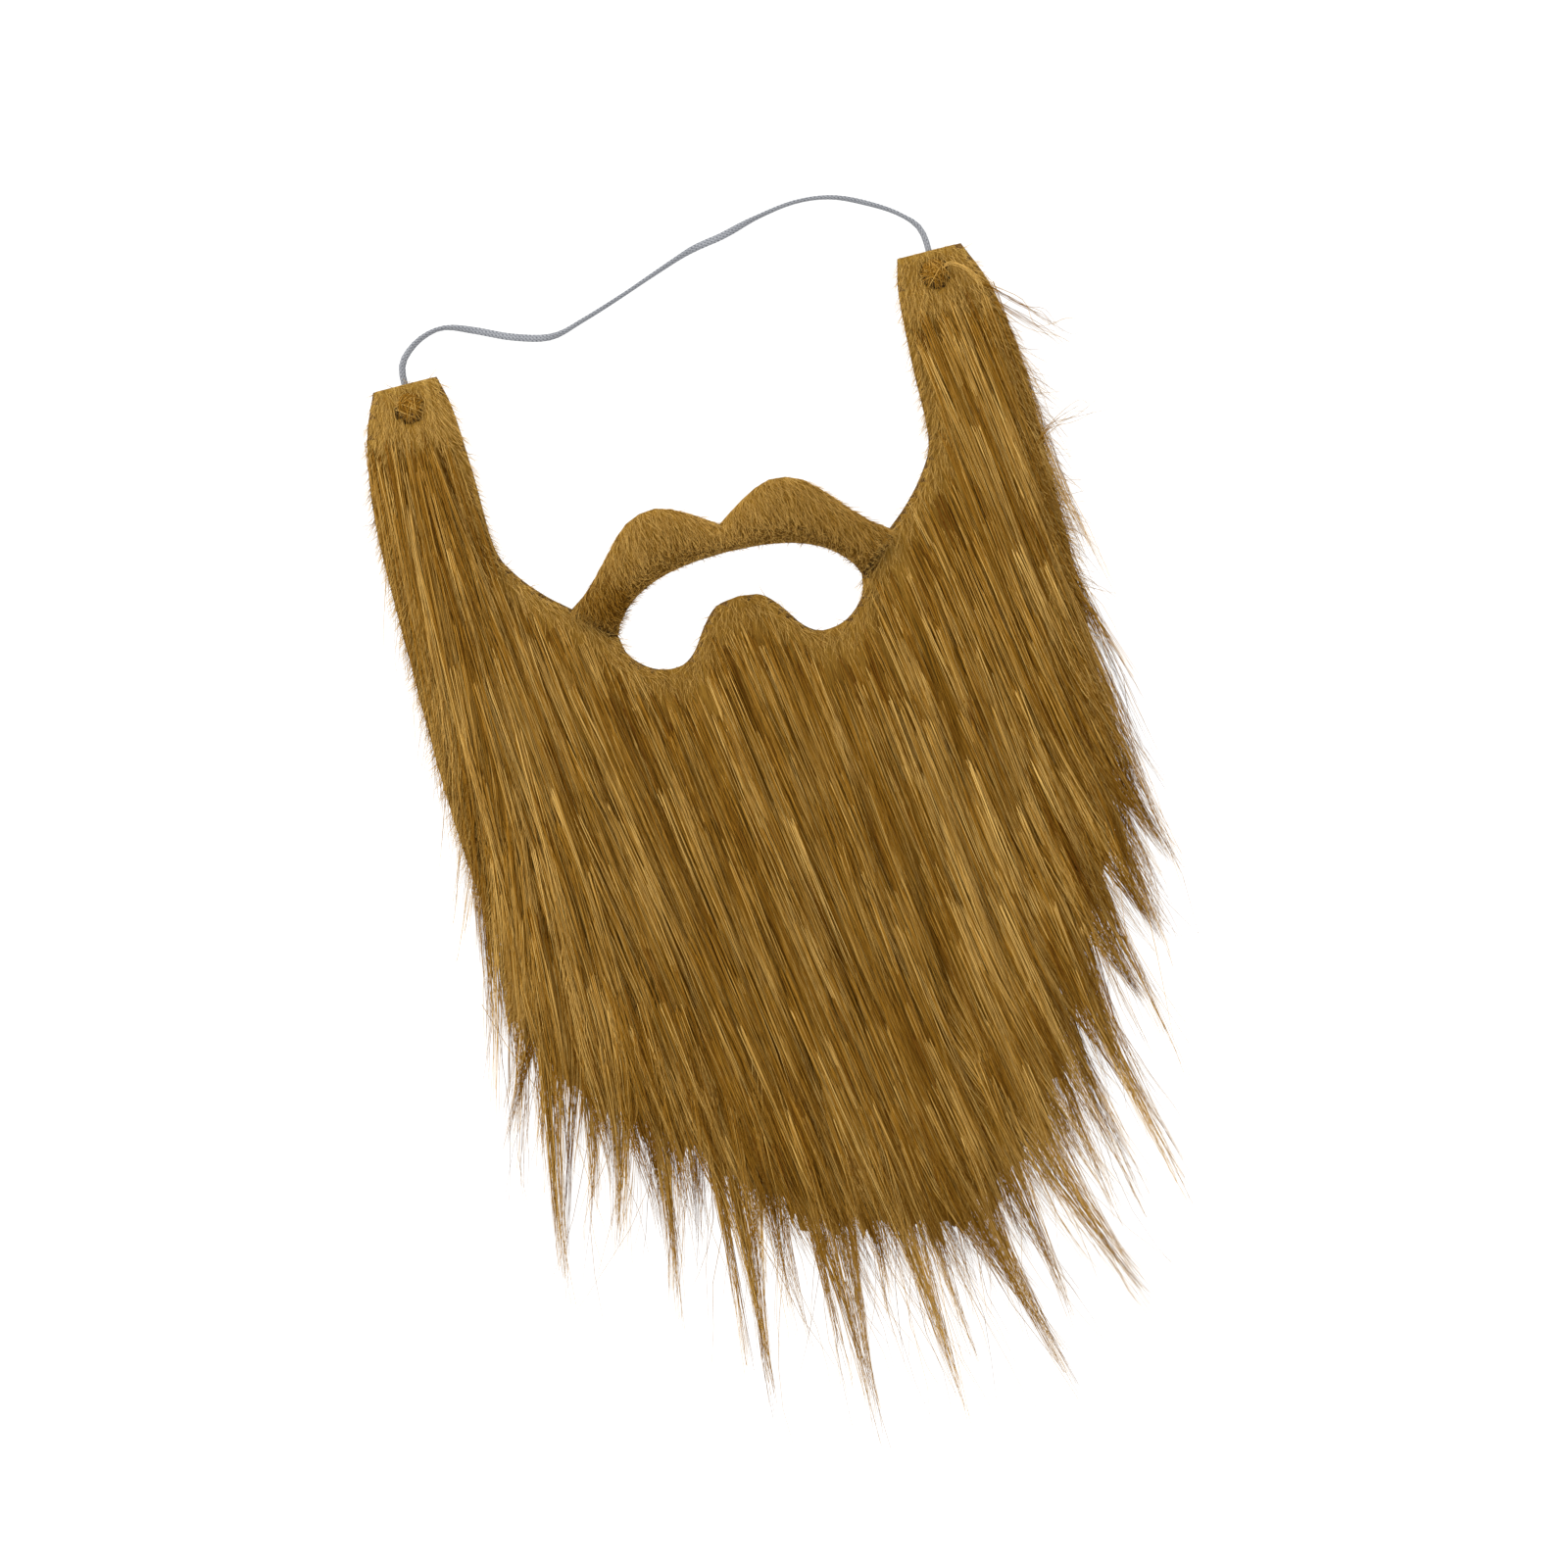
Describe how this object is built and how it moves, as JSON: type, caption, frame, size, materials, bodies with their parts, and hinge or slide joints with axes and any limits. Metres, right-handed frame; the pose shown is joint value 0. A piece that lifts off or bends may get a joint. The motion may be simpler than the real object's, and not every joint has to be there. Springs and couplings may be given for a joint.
{
  "type": "fake beard",
  "caption": "Costume beard and moustache of long-pile fur cloth, with a mouth opening, a tab beside each ear and a thin elastic cord from tab to tab.",
  "frame": {"origin": "bottom centre of the beard as it lies face up, measured without the elastic", "axes": "+Z out of the pile, +Y towards the tabs beside the ears, -Y towards the tips of the hair"},
  "size_m": [0.2244, 0.3721, 0.0127],
  "materials": {
    "backing_cloth": "matte knit",
    "long_hair": "combed synthetic hair, streaked brown and tan",
    "clipped_hair": "clipped synthetic hair",
    "elastic": "braided elastic"
  },
  "bodies": {
    "root": {"backing": "backing_cloth", "beard": "long_hair", "moustache": "clipped_hair", "elastic_cord": "elastic", "knot_left": "elastic", "knot_right": "elastic"}
  },
  "joints": []
}
